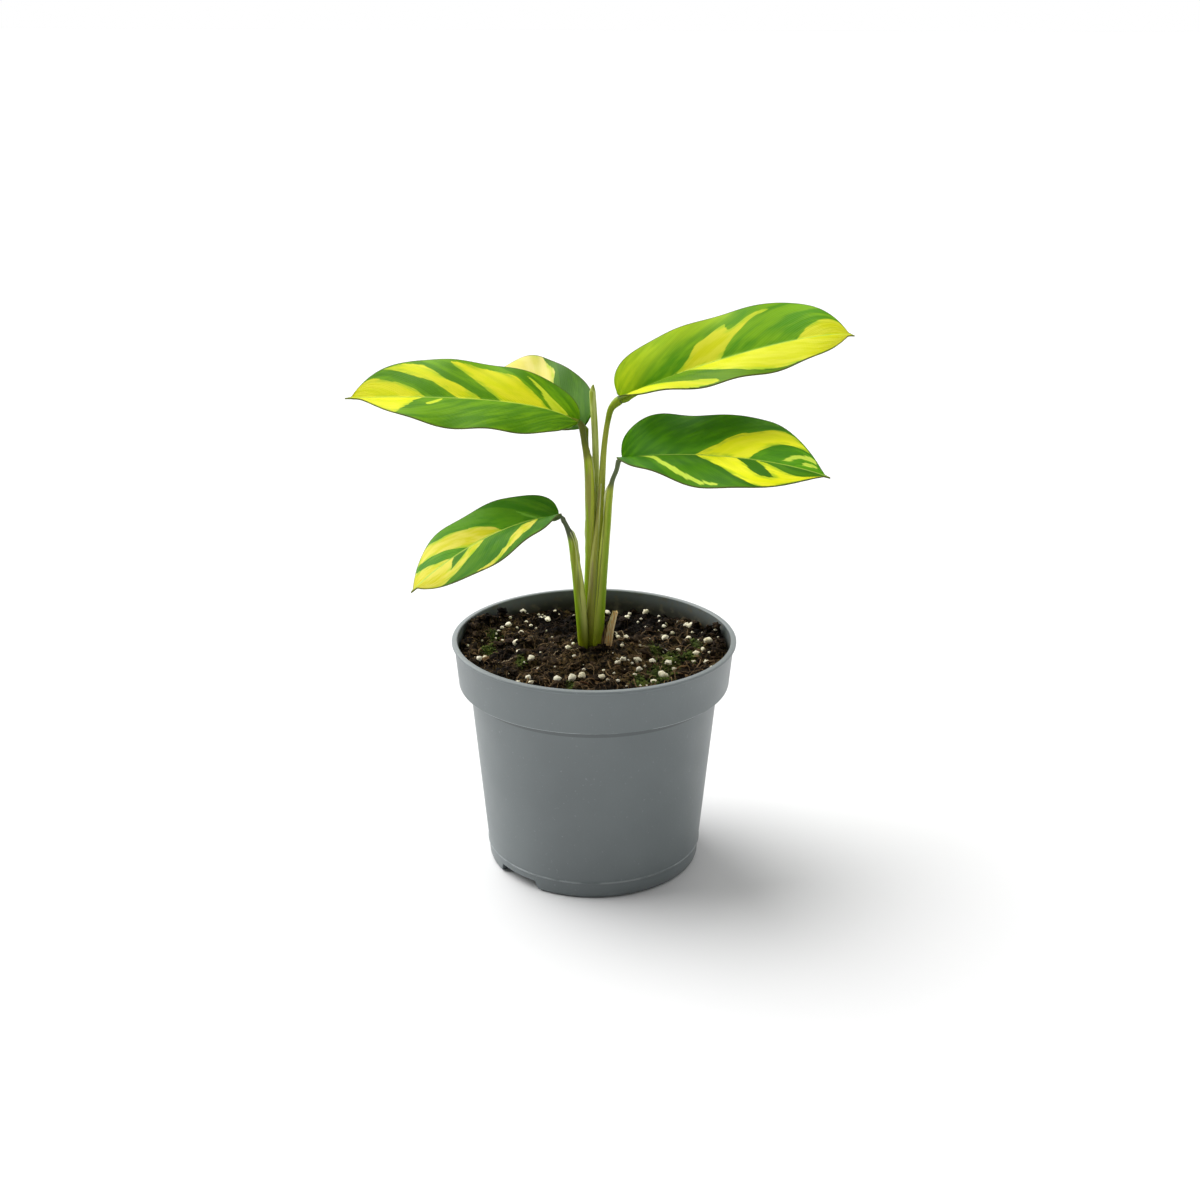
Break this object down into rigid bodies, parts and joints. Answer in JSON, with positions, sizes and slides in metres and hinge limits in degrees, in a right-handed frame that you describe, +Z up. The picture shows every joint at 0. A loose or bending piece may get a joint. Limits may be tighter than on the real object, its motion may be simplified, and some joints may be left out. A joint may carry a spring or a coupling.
{
  "type": "potted prayer plant",
  "caption": "Young variegated prayer plant with five streaked leaves, in a grey round nursery pot of soil.",
  "frame": {"origin": "centre of the pot's foot, on the surface that it stands on", "axes": "+Z up along the pot's axis; -Y towards the viewer; the two longest leaves spread along X"},
  "size_m": [0.2042, 0.1202, 0.2372],
  "materials": {
    "pot": "injection-moulded grey plastic, satin, slightly dusty inside the rim",
    "soil": "dark moist peat and bark mix with white perlite grains and a little moss",
    "rhizome_and_roots": "pale brown rhizome with cream roots",
    "leaf_upper_left": "satin leaf, green with golden yellow streaks between the side veins",
    "leaf_upper_right": "satin leaf, lime green with golden yellow streaks",
    "leaf_lower_right": "satin leaf, deep green with golden yellow streaks",
    "leaf_lower_left": "satin leaf, green with golden yellow streaks, its tip all yellow",
    "leaf_back": "satin leaf, greyish green with one cream patch",
    "stalk_upper_left": "smooth olive green sheath and a darker stalk",
    "stalk_upper_right": "smooth olive green stalk",
    "stalk_lower_right": "smooth yellow-green sheath and a dark thin stalk",
    "stalk_lower_left": "smooth green sheath with a pale thin edge and a dark thin stalk",
    "stalk_back": "smooth olive green stalk",
    "rolled_new_leaf": "smooth light yellow-green rolled leaf",
    "old_stalk_stub": "dry tan stub of a cut stalk"
  },
  "bodies": {
    "root": {"pot": "pot", "soil": "soil", "rhizome_and_roots": "rhizome_and_roots", "leaf_upper_left": "leaf_upper_left", "leaf_upper_right": "leaf_upper_right", "leaf_lower_right": "leaf_lower_right", "leaf_lower_left": "leaf_lower_left", "leaf_back": "leaf_back", "stalk_upper_left": "stalk_upper_left", "stalk_upper_right": "stalk_upper_right", "stalk_lower_right": "stalk_lower_right", "stalk_lower_left": "stalk_lower_left", "stalk_back": "stalk_back", "rolled_new_leaf": "rolled_new_leaf", "old_stalk_stub": "old_stalk_stub"}
  },
  "joints": []
}
